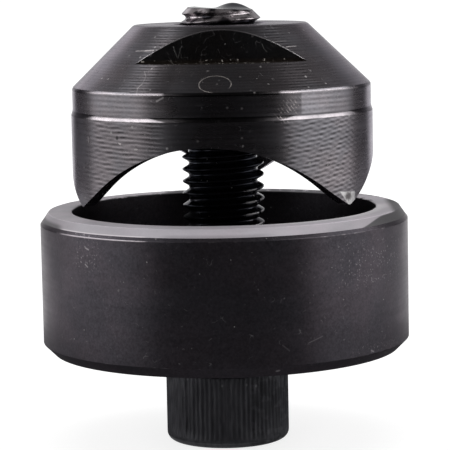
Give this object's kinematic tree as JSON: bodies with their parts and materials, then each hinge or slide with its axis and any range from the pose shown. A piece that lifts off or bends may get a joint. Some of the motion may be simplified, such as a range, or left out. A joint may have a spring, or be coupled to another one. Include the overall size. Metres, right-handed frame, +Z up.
{
  "type": "faucet hole punch",
  "caption": "Draw-type hole punch for sheet metal: a hollow punch with a crown of cutting points is pulled into a cup-shaped die by a socket head drive screw.",
  "frame": {"origin": "middle of the underside of the drive screw's head, the face that the tool stands on", "axes": "+Z up the common axis, from the screw's head to its end; -Y towards the front wrench flat; +X to the right of that view"},
  "size_m": [0.0534, 0.0534, 0.0636],
  "materials": {
    "die_steel": "blackened, satin, with a ground rim",
    "punch_steel": "blackened, turned, with chatter marks on the cutting band and bare metal at the points",
    "screw_steel": "black oxide, knurled head"
  },
  "bodies": {
    "die": {"die": "die_steel"},
    "drive_screw": {"drive_screw": "screw_steel"},
    "punch": {"punch": "punch_steel"}
  },
  "joints": [
    {"name": "screw_turn", "type": "hinge", "parent": "die", "child": "drive_screw", "pos_m": [0, 0, 0], "axis": [0, 0, 1], "range_deg": [-3148, 3302]},
    {"name": "punch_draw", "type": "slide", "parent": "die", "child": "punch", "axis": [0, 0, 1], "range_m": [-0.01605, 0.0153]}
  ],
  "couplings": [
    {"joint": "screw_turn", "follows": "punch_draw", "rad_per_m": -3590.4}
  ]
}
